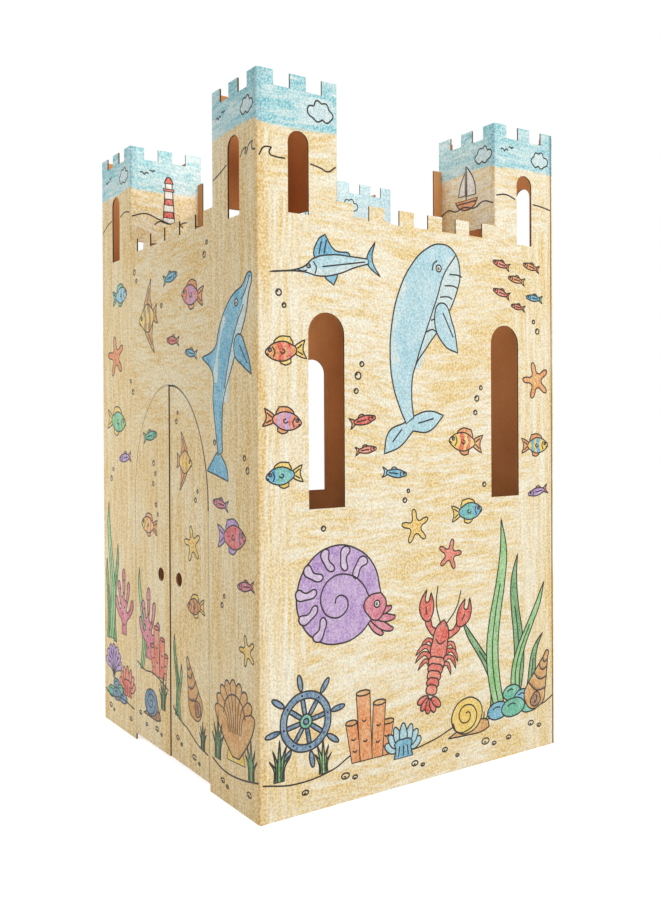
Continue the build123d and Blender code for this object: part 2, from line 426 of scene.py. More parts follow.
def build_castle_card():
    """The sheets: pencilled outside, bare kraft inside, and flutes on the cut edges."""
    material, tree, shader = new_material("castle_card")
    coordinates = node(tree, "TexCoord").outputs
    position, normal = coordinates["Object"], coordinates["Normal"]
    drawn = drawn_side(tree, position, normal)
    print_colour, tooth = pencilled_card(tree, position, normal)
    bare = place_group(tree, kraft, {"Vector": position})
    edge = place_group(tree, cut_edge, {"Vector": position, "Normal": normal})
    # Painted shade in the hollows between the liners, where a cut edge is seen from the side
    thickness = mix_colour(tree, edge["Paper"], HOLLOW_SHADE, LINER)
    inside = mix_colour(tree, edge["Cut"], bare["Color"], thickness)
    connect(tree, shader.inputs["Base Color"], mix_colour(tree, drawn, inside, print_colour))
    shader.inputs["Roughness"].default_value = 0.85
    shader.inputs["Specular IOR Level"].default_value = 0.25
    add_bump(tree, shader, mix_value(tree, drawn, bare["Height"], tooth))
    return material


castle_card = build_castle_card()
for card_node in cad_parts.values():
    card_node.data.materials.clear()
    card_node.data.materials.append(castle_card)


# Pictures on the card: coloured pencil and ink lines, laid on in thin layers, in millimetres
LAYER = 0.05
SLAB = 0.012
TINT_RISE = 0.014
INK_RISE = 0.02
INK_HALF = 1.25
INK_FLATNESS = 0.016
WELD = 0.002
INK_LEAST = 0.8
INK_GROWTH = 0.3
PALE_STROKES = 0.12
DEEP_STROKES = 1.45
PICTURE_PEAKS = 0.2
TO_METRES = Matrix.Scale(0.001, 4)
CURVE_STEP = 5
MOST_STEPS = 9


def build_coloured_pencil():
    """Pencil colour that each shape carries, with the paper showing through its strokes."""
    material, tree, shader = new_material("coloured_pencil")
    position = node(tree, "TexCoord").outputs["Object"]
    colour = node(tree, "Attribute", attribute_name="pencil_colour").outputs["Color"]
    hatch = place_group(tree, pencil_strokes, {"Vector": position, **PICTURE_STROKES})
    light = mix_colour(tree, PALE_STROKES, colour, PAPER)
    deep = node(tree, "Gamma", {"Color": colour, "Gamma": DEEP_STROKES}).outputs["Color"]
    layered = mix_colour(tree, hatch["Strokes"], light, deep)
    finish = over_tooth(tree, layered, hatch["Tooth"], PAPER, PICTURE_PEAKS)
    connect(tree, shader.inputs["Base Color"], finish)
    shader.inputs["Roughness"].default_value = 0.75
    shader.inputs["Specular IOR Level"].default_value = 0.3
    add_bump(tree, shader, hatch["Tooth"])
    return material


def build_ink_and_shadow_line():
    """Dark line with the grain of the paper in it, for ink and for the painted shadow along the door leaves'
    arches.
    """
    material, tree, shader = new_material("ink_and_shadow_line")
    position = node(tree, "TexCoord").outputs["Object"]
    grain = step(tree, noise(tree, position, 900.0, 2.0), 0.3, 0.75)
    connect(tree, shader.inputs["Base Color"], mix_colour(tree, grain, INK, INK_WORN))
    shader.inputs["Roughness"].default_value = 0.6
    return material


coloured_pencil = build_coloured_pencil()
ink_and_shadow_line = build_ink_and_shadow_line()


def add_object(name, data):
    """Object in the scene, with its data."""
    made = bpy.data.objects.new(name, data)
    bpy.context.scene.collection.objects.link(made)
    return made


def add_spline(curve, points, closed, height=0.0, weight=1.0):
    """Smooth line through points. A third number makes a corner sharp."""
    spline = curve.splines.new("BEZIER")
    spline.bezier_points.add(len(points) - 1)
    spline.use_cyclic_u = closed
    run = sum(math.dist(a[:2], b[:2]) for a, b in zip(points, points[1:])) / (len(points) - 1)
    spline.resolution_u = min(MOST_STEPS, 2 + round(run / CURVE_STEP))
    for knot, point in zip(spline.bezier_points, points):
        knot.co = (point[0], point[1], height)
        knot.radius = weight
    for knot, point in zip(spline.bezier_points, points):
        kind = "VECTOR" if len(point) > 2 else "AUTO"
        knot.handle_left_type = kind
        knot.handle_right_type = kind


def curve_mesh(curve, flatness=1.0):
    """Closed bmesh of a curve, which is used up."""
    drawing = bpy.data.objects.new("drawing", curve)
    mesh = bpy.data.meshes.new_from_object(drawing)
    bm = bmesh.new()
    bm.from_mesh(mesh)
    bmesh.ops.scale(bm, vec=(1, 1, flatness), verts=bm.verts)
    bmesh.ops.remove_doubles(bm, verts=bm.verts, dist=WELD)
    bmesh.ops.recalc_face_normals(bm, faces=bm.faces)
    bpy.data.objects.remove(drawing)
    bpy.data.curves.remove(curve)
    bpy.data.meshes.remove(mesh)
    return bm


def add_to(whole, bm):
    """Adds bm to a larger bmesh and frees it."""
    mesh = bpy.data.meshes.new("drawn")
    bm.to_mesh(mesh)
    bm.free()
    whole.from_mesh(mesh)
    bpy.data.meshes.remove(mesh)


class Picture:
    """Pencil shapes and ink lines of one side, drawn flat in millimetres and then laid on the card."""

    def __init__(self):
        self.shapes = bmesh.new()
        self.ink = bpy.data.curves.new("ink", "CURVE")
        self.ink.dimensions = "3D"
        self.ink.bevel_depth = INK_HALF
        self.ink.bevel_resolution = 0
        self.ink.use_fill_caps = True
        self.laid = []
        self.place = Matrix.Identity(4)
        self.weight = 1.0

    def draw(self, motif, x, z, size, turn, mirror, *colours):
        """Draws a motif at its place, above what it overlaps."""
        flip = Matrix.Scale(-1, 4, (1, 0, 0)) if mirror else Matrix.Identity(4)
        self.place = (Matrix.Translation((x, z, 0)) @ Matrix.Rotation(math.radians(turn), 4, "Z")
                      @ Matrix.Scale(size, 4) @ flip)
        self.weight = INK_LEAST + INK_GROWTH * size
        motif(self, *colours)

    def put(self, points):
        """Points moved to their place on the wall."""
        placed = [self.place @ Vector((point[0], point[1], 0)) for point in points]
        return [(spot.x, spot.y, *point[2:]) for spot, point in zip(placed, points)]

    def layer_for(self, points, above):
        """Layer of an outline, a number of layers above what lies under it."""
        across = [point[0] for point in points]
        up = [point[1] for point in points]
        left, right, low, high = min(across), max(across), min(up), max(up)
        layer = above
        for (other_left, other_right, other_low, other_high), under in self.laid:
            if left < other_right and right > other_left and low < other_high and high > other_low:
                layer = max(layer, under + above)
        self.laid.append(((left, right, low, high), layer))
        return layer

    def shape(self, colour, points, weight=1.0):
        """Coloured shape with an ink outline, over what was drawn before it."""
        points = self.put(points)
        layer = self.layer_for(points, 1)
        self.lay_colour(colour, [points], layer * LAYER)
        self.lay_ink(points, True, weight, layer)

    def fill(self, colour, *outlines):
        """Tint without an outline, on the shape under it. A second outline makes it a ring over that."""
        outlines = [self.put(points) for points in outlines]
        layer = self.layer_for(outlines[0], len(outlines) - 1)
        self.lay_colour(colour, outlines, layer * LAYER + TINT_RISE)

    def line(self, points, closed=False, weight=1.0):
        """Ink line."""
        points = self.put(points)
        self.lay_ink(points, closed, weight, self.layer_for(points, 0))

    def lay_colour(self, colour, outlines, height):
        """Adds a thin slab of colour at a height over the card."""
        curve = bpy.data.curves.new("outline", "CURVE")
        curve.dimensions = "2D"
        curve.fill_mode = "BOTH"
        curve.extrude = SLAB / 2
        for points in outlines:
            add_spline(curve, points, True)
        bm = curve_mesh(curve)
        pencil_colour = bm.verts.layers.float_color.new("pencil_colour")
        for vert in bm.verts:
            vert[pencil_colour] = colour
        bmesh.ops.translate(bm, vec=(0, 0, LAYER + height), verts=bm.verts)
        add_to(self.shapes, bm)

    def lay_ink(self, points, closed, weight, layer):
        """Adds a line to the ink, over a layer of colour."""
        height = (LAYER * (layer + 1) + INK_RISE) / INK_FLATNESS
        add_spline(self.ink, points, closed, height, weight * self.weight)

    def finish(self, name, body, wall):
        """Joins shapes and lines into one piece, lays it on its wall and lets it ride on a body."""
        lines = curve_mesh(self.ink, INK_FLATNESS)
        for face in lines.faces:
            face.material_index = 1
        add_to(self.shapes, lines)
        bmesh.ops.transform(self.shapes, matrix=wall @ TO_METRES, verts=self.shapes.verts)
        mesh = bpy.data.meshes.new(name)
        self.shapes.to_mesh(mesh)
        self.shapes.free()
        mesh.materials.append(coloured_pencil)
        mesh.materials.append(ink_and_shadow_line)
        piece = add_object(name, mesh)
        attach(piece, body)


# Outlines, in millimetres on the card. A third number marks a sharp corner
def mirrored(points):
    """Outline closed by its own image across its long axis."""
    return points + [(p[0], -p[1], *p[2:]) for p in reversed(points) if p[1]]


def oval(x, z, wide, high, turn=0):
    """Ellipse with half sizes wide and high."""
    lean = math.radians(turn)
    corners = 8
    points = []
    for i in range(corners):
        angle = 2 * math.pi * i / corners
        across, along = wide * math.cos(angle), high * math.sin(angle)
        points.append((x + across * math.cos(lean) - along * math.sin(lean),
                       z + across * math.sin(lean) + along * math.cos(lean)))
    return points


def polar(radius, degrees, x=0, z=0):
    """Point at a distance and a direction from a centre."""
    angle = math.radians(degrees)
    return (x + radius * math.cos(angle), z + radius * math.sin(angle))


# Motifs, each drawn about its own origin
def eye(art, x, z, size):
    """Plain round eye."""
    art.shape(WHITE, oval(x, z, size, size))
    art.fill(INK, oval(x - 0.1 * size, z, 0.5 * size, 0.5 * size))


def fish(art, body, trim, band):
    """Small reef fish, 120 mm long, that swims to the left."""
    art.shape(trim, [(36, 6), (54, 19), (72, 25, 1), (63, 0), (72, -25, 1), (54, -19), (36, -6)])
    art.shape(trim, [(-24, 19), (-8, 37), (26, 36, 1), (32, 12)])
    art.shape(trim, [(-12, -20), (2, -36), (22, -32, 1), (20, -16)])
    art.shape(body, mirrored([(-52, 0), (-42, 12), (-20, 23), (6, 25), (28, 16), (42, 5)]))
    art.fill(band, [(-14, 24), (-9, 0), (-14, -24), (-3, -25), (3, 0), (-3, 25)])
    art.fill(band, [(14, 23), (17, 0), (14, -23), (23, -19), (27, 0), (23, 19)])
    art.line([(-30, 14), (-24, 0), (-30, -14)])
    art.line([(-50, -3), (-42, -6)])
    art.line([(46, 4), (62, 14)])
    art.line([(46, -4), (62, -14)])
    art.line([(-8, 0), (-1, -6), (7, 0), (-1, 6)])
    eye(art, -38, 6, 4.5)


def minnow(art, body, trim):
    """Slim small fish, 90 mm long."""
    art.shape(trim, [(24, 2), (46, 16, 1), (38, 0), (46, -16, 1), (24, -2)])
    art.shape(trim, [(-8, 8), (2, 18), (14, 7)])
    art.shape(body, mirrored([(-44, 0), (-30, 8), (-6, 12), (18, 8), (30, 3)]))
    art.line([(-24, 7), (-20, 0), (-24, -7)])
    art.line([(-12, 0), (22, 0)])
    eye(art, -33, 2, 2.6)


def angelfish(art, body, trim, band):
    """Tall flat fish with long fins."""
    for side in (1, -1):
        art.shape(trim, [(-16, 22 * side), (0, 56 * side), (32, 92 * side, 1), (22, 48 * side),
                         (26, 14 * side)])
        art.line([(2, 38 * side), (20, 70 * side)])
    art.shape(trim, [(34, 8), (58, 24, 1), (51, 0), (58, -24, 1), (34, -8)])
    art.shape(body, mirrored([(-50, 0), (-34, 15), (-14, 30), (6, 34), (26, 20), (38, 7)]))
    art.fill(band, [(-22, 25), (-16, 0), (-22, -25), (-13, -30), (-7, 0), (-13, 30)])
    art.fill(band, [(4, 34), (10, 0), (4, -34), (13, -30), (19, 0), (13, 30)])
    art.line([(-46, -5), (-40, -8)])
    art.line([(48, 4), (55, 14)])
    art.line([(48, -4), (55, -14)])
    eye(art, -34, 5, 4.5)


def starfish(art, body, spots):
    """Five-armed star, 50 mm in radius."""
    outline = []
    for arm in range(5):
        middle = 90 - 72 * arm
        outline += [polar(46, middle + 7), polar(50, middle), polar(46, middle - 7), polar(20, middle - 36)]
    art.shape(body, outline)
    for arm in range(5):
        for step in range(4):
            size = 3.4 - 0.6 * step
            art.fill(spots, oval(*polar(9 + 10 * step, 90 + 72 * arm), size, size))


def scallop(art, body, ribs):
    """Fan shell, 105 mm wide, hinge down."""
    art.shape(ribs, [(-24, -50, 1), (24, -50, 1), (17, -28, 1), (-17, -28, 1)])
    rim = []
    for lobe in range(9):
        middle = 168 - 19.5 * lobe
        rim += [polar(52, middle + 5), polar(54, middle), polar(52, middle - 5), polar(48, middle - 9.7)]
    art.shape(body, [(-9, -44, 1), (-40, -14)] + rim[:-1] + [(40, -14), (9, -44, 1)])
    for lobe in range(8):
        art.line([(4.4 * (lobe - 3.5), -14), polar(26, 158 - 19.5 * lobe),
                  polar(47, 158.5 - 19.5 * lobe)], weight=0.75)
    art.line([polar(30, 165), polar(33, 130), polar(35, 90), polar(33, 50), polar(30, 15)])


def turret(art, body, bands):
    """Spiral turret shell, 150 mm tall, tip up."""
    art.shape(body, [(0, 80), (-9, 60), (-16, 40), (-25, 14), (-34, -14), (-38, -40), (-22, -62), (0, -70),
                     (22, -60), (36, -38), (30, -14), (22, 15), (14, 40), (8, 60)])
    for low, wide in ((58, 9), (38, 15), (14, 23), (-14, 31)):
        art.fill(bands, [(-wide, low, 1), (0, low - 9), (wide - 1, low + 4, 1), (wide - 1, low + 10, 1),
                         (0, low - 3), (-wide, low + 6, 1)])
        art.line([(-wide - 1, low), (0, low - 9), (wide, low + 5)])
    art.shape(bands, [(2, -26), (20, -34), (24, -48), (8, -62), (-8, -56), (-6, -38)])
    art.line([(6, -34), (10, -46), (4, -56)])


def snail(art, shell, foot):
    """Rolled shell on a foot, 110 mm wide."""
    art.shape(foot, [(-62, -34, 1), (-56, -18), (-40, -14), (20, -26), (52, -38, 1), (0, -40), (-40, -40)])
    art.line([(-52, -20), (-60, -4)])
    art.line([(-46, -17), (-48, 0)])
    art.shape(shell, oval(0, 0, 42, 36, -12))
    art.line([(38, -10), (28, -28), (-2, -30), (-24, -14), (-24, 8), (-4, 22), (18, 14), (20, -4), (6, -14),
              (-8, -6), (-6, 6), (4, 6)])


def leaf(art, colour, height, width, sway, lean=0.0, x=0, z=0):
    """Wavy blade that stands on x, z, with a sharp tip."""
    left, right = [], []
    for i in range(6):
        share = i / 6
        middle = sway * math.sin(5.2 * share) + lean * height * share * share
        half = width * (0.5 + 0.5 * math.sin(2.6 * share + 0.5)) / 2 * (1 - 0.4 * share)
        left.append((x + middle - half, z + height * share))
        right.append((x + middle + half, z + height * share))
    tip = (x + sway * math.sin(5.2) + lean * height, z + height, 1)
    art.shape(colour, [(*left[0], 1)] + left[1:] + [tip] + right[:0:-1] + [(*right[0], 1)])
    vein = [((a[0] + b[0]) / 2, a[1]) for a, b in zip(left[:5], right[:5])]
    art.line(vein)


def seaweed(art, light, dark):
    """Clump of five tall leaves."""
    leaf(art, dark, 300, 30, 16, 0.10, 22, 0)
    leaf(art, light, 240, 26, -14, 0.24, 40, 0)
    leaf(art, dark, 190, 26, 12, -0.34, -30, 0)
    leaf(art, light, 370, 34, -20, -0.04, -8, 0)
    leaf(art, dark, 140, 22, 10, 0.42, 56, 0)


def grass(art, colour):
    """Tuft of short blades."""
    for lean, height in ((-0.5, 46), (0.5, 50), (-0.22, 66), (0.26, 70), (0.02, 84)):
        art.shape(colour, [(lean * 16 - 4, 0, 1), (lean * height * 0.35 - 3, height * 0.5),
                           (lean * height, height, 1), (lean * height * 0.35 + 4, height * 0.45),
                           (lean * 16 + 4, 0, 1)])


def coral(art, colour):
    """Branching coral, 150 mm tall."""
    art.shape(colour, [(-14, 0, 1), (-12, 26), (-34, 44), (-50, 70), (-47, 82), (-38, 78), (-30, 60),
                       (-20, 56), (-28, 88), (-36, 112), (-28, 120), (-20, 108), (-12, 84), (-6, 110),
                       (-8, 140), (2, 150), (8, 138), (6, 108), (8, 78), (18, 94), (24, 120), (33, 122),
                       (34, 108), (24, 78), (16, 54), (34, 62), (46, 84), (55, 80), (52, 64), (36, 46),
                       (16, 30), (14, 0, 1)])
    pores = ((-2, 20), (-6, 44), (4, 60), (-22, 66), (-2, 92), (16, 74), (36, 60), (-24, 100), (0, 122))
    for x, z in pores:
        art.line([(x - 3, z), (x, z + 4), (x + 3, z)])


def fan_coral(art, colour):
    """Lobed sea fan with branching veins, 130 mm wide."""
    rim = []
    for lobe in range(7):
        middle = 172 - 27 * lobe
        rim += [polar(66, middle + 7, 0, 40), polar(68, middle - 6, 0, 40), polar(58, middle - 14, 0, 40)]
    art.shape(colour, [(-8, 0, 1), (-10, 16)] + rim[:-1] + [(10, 16), (8, 0, 1)])
    for lobe in range(7):
        middle = 168 - 26 * lobe
        art.line([(0, 4), polar(26, middle, 0, 34), polar(56, middle, 0, 40)])
        art.line([polar(30, middle, 0, 36), polar(50, middle + 9, 0, 40)])


def tubes(art, colour, mouth):
    """Cluster of tube sponges."""
    pipes = ((-34, 11, 76, -0.16), (30, 11, 64, 0.18), (14, 13, 104, 0.06), (-12, 14, 128, -0.05))
    for x, wide, high, lean in pipes:
        top = x + lean * high
        art.shape(colour, [(x - wide, 0, 1), (top - wide - 2, high, 1), (top + wide + 2, high, 1),
                           (x + wide, 0, 1)])
        art.shape(mouth, oval(top, high, wide + 2, 5))
        for share in (0.3, 0.6):
            middle = x + lean * high * share
            art.line([(middle - 5, high * share), (middle, high * share - 3), (middle + 5, high * share)])


def anemone(art, arms, base):
    """Ring of soft arms on a stout foot."""
    for turn in (-74, 74, -50, 50, -26, 26, 0):
        x, z = polar(58, 90 - turn, 0, 22)
        side, rise = polar(6, -turn)
        foot_x, foot_z = polar(22, 90 - turn, 0, 16)
        art.shape(arms, [(foot_x - side, foot_z - rise), (x - side, z - rise), (x - 0.2 * rise, z + side),
                         (x + side, z + rise), (foot_x + side, foot_z + rise)])
    art.shape(base, [(-30, 0, 1), (-24, 24), (-27, 38), (0, 46), (27, 38), (24, 24), (30, 0, 1)])
    for x in (-12, 0, 12):
        art.line([(x * 1.3, 4), (x, 30)])


def rocks(art, light, dark):
    """Heap of five rounded stones."""
    stones = ((-46, 16, 28, 17, dark), (44, 14, 30, 15, light), (-8, 46, 24, 15, light),
              (22, 34, 22, 14, dark), (-4, 16, 32, 18, light))
    for x, z, wide, high, colour in stones:
        art.shape(colour, oval(x, z, wide, high, 4))
        art.line([(x - wide * 0.5, z + high * 0.2), (x - wide * 0.1, z + high * 0.45),
                  (x + wide * 0.2, z + high * 0.3)])


def bubbles(art, *places):
    """Open rings, given as x, z and radius."""
    for x, z, radius in places:
        art.line(oval(x, z, radius, radius), closed=True)
        art.line([polar(radius * 0.55, a, x, z) for a in (100, 140, 180)])


def pebbles(art, *places):
    """Small stones, drawn in ink only."""
    for x, z, size in places:
        art.line(oval(x, z, size, size * 0.6), closed=True)
        art.line([(x - size * 0.4, z - size * 0.1), (x + size * 0.2, z - size * 0.25)])


def whale(art, back, belly):
    """Large whale that swims to the right, 400 mm long."""
    art.shape(back, [(-152, -50), (-185, -28), (-223, -39, 1), (-195, -62), (-156, -73, 1), (-138, -104),
                     (-95, -119, 1), (-105, -88), (-134, -60)])
    art.shape(back, [(172, 18), (165, 48), (135, 72), (90, 84), (35, 82), (-20, 66), (-70, 40), (-110, 8),
                     (-138, -28), (-153, -53, 1), (-135, -62, 1), (-105, -38), (-60, -18), (-10, -22),
                     (50, -30), (110, -28), (150, -14)])
    art.fill(belly, [(168, 10), (120, 14), (80, 6), (30, -2), (-30, -12), (-60, -18), (-10, -22), (50, -30),
                     (110, -28), (150, -14)])
    art.line([(168, 10), (120, 14), (80, 6), (30, -2), (-30, -12), (-60, -18)])
    for i in range(6):
        x = 10 + 24 * i
        art.line([(x, -6 + i * 2), (x + 12, -16), (x + 14, -27 + i * 0.6)])
    art.fill(belly, [(60, 76), (20, 70), (-40, 46), (-76, 22), (-40, 52), (20, 75)])
    art.shape(back, [(75, -8), (58, -50), (20, -88, 1), (14, -56), (38, -12)])
    art.line([(62, -20), (38, -64)])
    art.line([(-166, -50), (-196, -44)])
    art.line([(-138, -76), (-112, -102)])
    eye(art, 124, 30, 6)
    art.line([(112, 40), (124, 44), (134, 40)])


def dolphin(art, back, belly):
    """Leaping dolphin that heads to the right, 320 mm long."""
    art.shape(back, [(-124, -30), (-150, -12), (-168, -4, 1), (-160, -36), (-152, -72, 1), (-136, -60),
                     (-126, -36)])
    art.shape(back, [(152, -10), (126, 4), (112, 20), (82, 38), (44, 46), (18, 46), (-14, 82, 1), (-24, 38),
                     (-62, 20), (-100, -6), (-130, -28, 1), (-120, -38, 1), (-86, -22), (-46, -10),
                     (0, -14), (50, -20), (96, -24), (124, -20), (150, -18)])
    art.fill(belly, [(146, -15), (108, -8), (70, -4), (20, -2), (-30, -6), (-50, -12), (0, -15), (50, -21),
                     (96, -25), (124, -21)])
    art.line([(148, -13), (120, -8), (108, -2)])
    art.line([(104, -12), (70, -4), (20, -2), (-30, -6)])
    art.shape(back, [(58, -12), (44, -50), (20, -74, 1), (22, -44), (30, -14)])
    art.line([(46, -24), (30, -56)])
    art.fill(belly, [(70, 37), (40, 40), (10, 38), (-34, 26), (10, 33), (40, 35)])
    eye(art, 100, 10, 5)


def swordfish(art, back, belly, fin):
    """Long-billed fish that heads to the right, 300 mm long."""
    art.shape(fin, [(-96, 6), (-128, 44, 1), (-112, 2), (-128, -38, 1), (-96, -4)])
    art.shape(fin, [(44, 18), (30, 60), (10, 70, 1), (-10, 34), (-50, 16)])
    art.shape(fin, [(26, -16), (6, -44, 1), (-6, -16)])
    art.shape(back, [(80, 4), (170, 2, 1), (84, -6), (40, -20), (-10, -20), (-60, -10), (-100, -5, 1),
                     (-100, 6, 1), (-60, 14), (0, 24), (50, 20)])
    art.fill(belly, [(82, -5), (40, -19), (-10, -19), (-60, -9), (-96, -4), (-30, -4), (40, -6)])
    art.line([(96, -1), (82, -5), (72, -4)])
    art.line([(52, 14), (46, 0), (52, -14)])
    art.line([(34, 28), (22, 56)])
    art.line([(20, 28), (8, 58)])
    art.line([(-90, 0), (30, 0)])
    eye(art, 66, 5, 4.5)


def nautilus(art, shell, band, arms):
    """Coiled shell with short arms on the right, 200 mm across."""
    for turn, length in ((-58, 50), (-40, 62), (-22, 58), (-6, 48), (10, 36)):
        x, z = polar(length, turn, 52, -34)
        side, rise = polar(5, turn + 90)
        art.shape(arms, [(50 + side, -36 + rise, 1), (x + side, z + rise),
                         polar(length + 7, turn + 4, 52, -34), (x - side, z - rise),
                         (50 - side, -36 - rise, 1)])
    art.shape(shell, [(86, -8, 1), (74, 42), (38, 76), (-10, 86), (-56, 66), (-82, 24), (-80, -26),
                      (-50, -64), (-6, -78), (36, -70), (62, -50, 1), (48, -24), (60, -10)])
    for turn in (30, 62, 94, 126, 158, 190, 222):
        art.shape(band, [polar(46, turn, -4, 2), polar(64, turn + 8, -4, 2), polar(81, turn + 6, -4, 2),
                         polar(81, turn + 16, -4, 2), polar(62, turn + 18, -4, 2),
                         polar(44, turn + 10, -4, 2)])
    art.line([(60, -10), (48, 14), (20, 34), (-14, 34), (-36, 12), (-36, -14), (-18, -32), (6, -30),
              (16, -14), (8, 0), (-6, 0), (-10, -10)])
    art.shape(arms, [(62, -50, 1), (48, -24), (60, -10), (86, -8, 1), (96, -26), (88, -44), (74, -54)])
    eye(art, 76, -26, 6)


def lobster(art, body, dark):
    """Lobster from above, 240 mm tall, claws up."""
    for side in (1, -1):
        for i, reach in enumerate((46, 54, 52, 42)):
            z = 8 - 13 * i
            art.shape(body, [(side * 14, z + 4), (side * reach * 0.66, z + 12),
                             (side * reach * 0.88, z + 4), (side * reach, z - 12, 1),
                             (side * reach * 0.74, z + 1), (side * reach * 0.6, z + 5),
                             (side * 14, z - 4)], weight=0.8)
        art.line([(side * 6, 48), (side * 26, 84), (side * 30, 118)])
        art.shape(body, [(side * 12, 26), (side * 34, 34), (side * 44, 52), (side * 36, 56),
                         (side * 26, 42), (side * 10, 36)])
        art.shape(body, [(side * 38, 50), (side * 58, 58), (side * 66, 80), (side * 56, 108, 1),
                         (side * 50, 84), (side * 44, 104, 1), (side * 32, 82), (side * 32, 60)])
        art.line([(side * 46, 62), (side * 50, 76)])
    art.shape(body, [(0, 58, 1), (-14, 44), (-19, 16), (-16, -14), (0, -20), (16, -14), (19, 16), (14, 44)])
    art.line([(-13, 20), (0, 12), (13, 20)])
    for i in range(5):
        wide = 16 - 1.6 * i
        z = -22 - 13 * i
        art.shape(body if i % 2 else dark, [(-wide, z + 7), (-wide - 3, z - 5), (0, z - 10),
                                            (wide + 3, z - 5), (wide, z + 7), (0, z + 9)])
    for turn in (-150, -120, -90, -60, -30):
        art.shape(body, oval(*polar(19, turn, 0, -86), 14, 7, turn))
    for side in (1, -1):
        art.fill(INK, oval(side * 8, 48, 2.6, 2.6))


def wheel(art, wood, hub):
    """Ship's wheel, 160 mm across."""
    spokes = range(10, 370, 45)
    for turn in spokes:
        art.shape(wood, oval(*polar(66, turn), 14, 4.5, turn))
        art.shape(wood, oval(*polar(26, turn), 24, 3.6, turn))
    art.fill(wood, oval(0, 0, 50, 50), oval(0, 0, 38, 38))
    art.line(oval(0, 0, 50, 50), closed=True)
    art.line(oval(0, 0, 38, 38), closed=True)
    for turn in spokes:
        art.fill(INK, oval(*polar(44, turn), 1.8, 1.8))
    art.shape(hub, oval(0, 0, 12, 12))
    art.shape(wood, oval(0, 0, 5, 5))


def chest(art, wood, metal, gold):
    """Open treasure chest, 120 mm wide."""
    art.shape(wood, [(-56, 36, 1), (-64, 76, 1), (-50, 90), (0, 97), (46, 90), (60, 76, 1), (52, 36, 1)])
    art.line([(-58, 70), (-46, 80), (0, 86), (42, 80), (54, 70)])
    art.shape(gold, [(-50, 34, 1), (-40, 48), (-22, 54), (0, 58), (22, 52), (40, 46), (48, 34, 1)])
    for x, z in ((-30, 44), (-12, 49), (8, 50), (26, 45), (-2, 40), (16, 39), (-20, 38)):
        art.line(oval(x, z, 6, 4.4), closed=True)
    art.shape(wood, [(-58, 36, 1), (54, 36, 1), (50, -4, 1), (-54, -4, 1)])
    for x in (-52, -4, 44):
        art.shape(metal, [(x - 3, 36, 1), (x + 7, 36, 1), (x + 7, -4, 1), (x - 3, -4, 1)])
    art.line([(-57, 22), (53, 22)])
    art.line([(-55, 9), (51, 9)])
    art.shape(gold, oval(-2, 24, 7, 8))


def arch_shadow_line(art, weight):
    """Painted shadow of the gap along a door leaf's arch, from its top, and painted shade in its crease from
    there down, drawn in ink.
    """
    wide, rise, spring, foot = 160.6, 222.6, 485, 16
    steps = 8
    points = []
    for index in range(steps + 1):
        turn = math.radians(90 - index * 90 / steps)
        points.append((wide * math.cos(turn), spring + rise * math.sin(turn)))
    art.line(points, weight=weight)
    art.line([points[-1], (wide, foot)], weight=0.3)


def ground_line(art, *points):
    """Line of the sea bed or the horizon."""
    art.line(points)


def sailboat(art, hull, sail):
    """Small boat, 90 mm tall."""
    art.shape(hull, [(-34, 10, 1), (36, 10, 1), (24, -6), (-20, -6)])
    art.line([(0, 10), (0, 84)])
    art.shape(sail, [(3, 82, 1), (26, 46), (30, 18, 1), (3, 18, 1)])
    art.shape(sail, [(-3, 70, 1), (-18, 44), (-24, 20, 1), (-3, 20, 1)])
    art.line([(-30, 4), (30, 4)])


def cloud(art, colour):
    """Small cloud, 50 mm wide."""
    art.shape(colour, [(-20, -9), (-25, 0), (-17, 8, 1), (-12, 17), (-2, 16, 1), (7, 20), (13, 10, 1),
                       (23, 8), (24, -4), (14, -10, 1), (6, -15), (-4, -10, 1), (-12, -14)])


def gulls(art):
    """Two gulls far away."""
    for x, z, size in ((0, 0, 12), (22, 9, 8)):
        art.line([(x - size, z + size * 0.3), (x - size * 0.5, z + size * 0.5), (x, z, 1),
                  (x + size * 0.5, z + size * 0.5), (x + size, z + size * 0.3)])


def sun(art, colour):
    """Sun with short rays."""
    art.shape(colour, oval(0, 0, 13, 13))
    for turn in range(0, 360, 30):
        art.line([polar(17, turn), polar(23, turn)])


def lighthouse(art, wall, stripe):
    """Lighthouse on a rock, 110 mm tall."""
    art.shape(wall, [(-14, 12, 1), (-9, 82, 1), (9, 82, 1), (14, 12, 1)])
    for low in (24, 52):
        wide = 13.6 - low * 0.07
        art.shape(stripe, [(-wide, low, 1), (-wide + 1, low + 13, 1), (wide - 1, low + 13, 1),
                           (wide, low, 1)])
    art.shape(stripe, [(-12, 82, 1), (12, 82, 1), (12, 87, 1), (-12, 87, 1)])
    art.shape(wall, [(-8, 87, 1), (8, 87, 1), (8, 99, 1), (-8, 99, 1)])
    art.shape(stripe, [(-11, 99, 1), (0, 113), (11, 99, 1)])
    art.line([(-34, 6), (-22, 14), (0, 11), (20, 15), (34, 6)])


def dune(art, blades):
    """Low dune with a few blades of grass, drawn in ink."""
    art.line([(-44, 0), (-24, 14), (4, 20), (28, 12), (46, 0)])
    art.line([(-20, 6), (0, 9), (16, 4)])
    for x, lean in ((-14, -9), (-8, -2), (-2, 6), (14, 2), (18, 9)):
        art.shape(blades, [(x - 1.5, 16, 1), (x + lean * 0.4 - 1.5, 34), (x + lean, 48, 1),
                           (x + lean * 0.4 + 1.5, 32), (x + 1.5, 16, 1)])


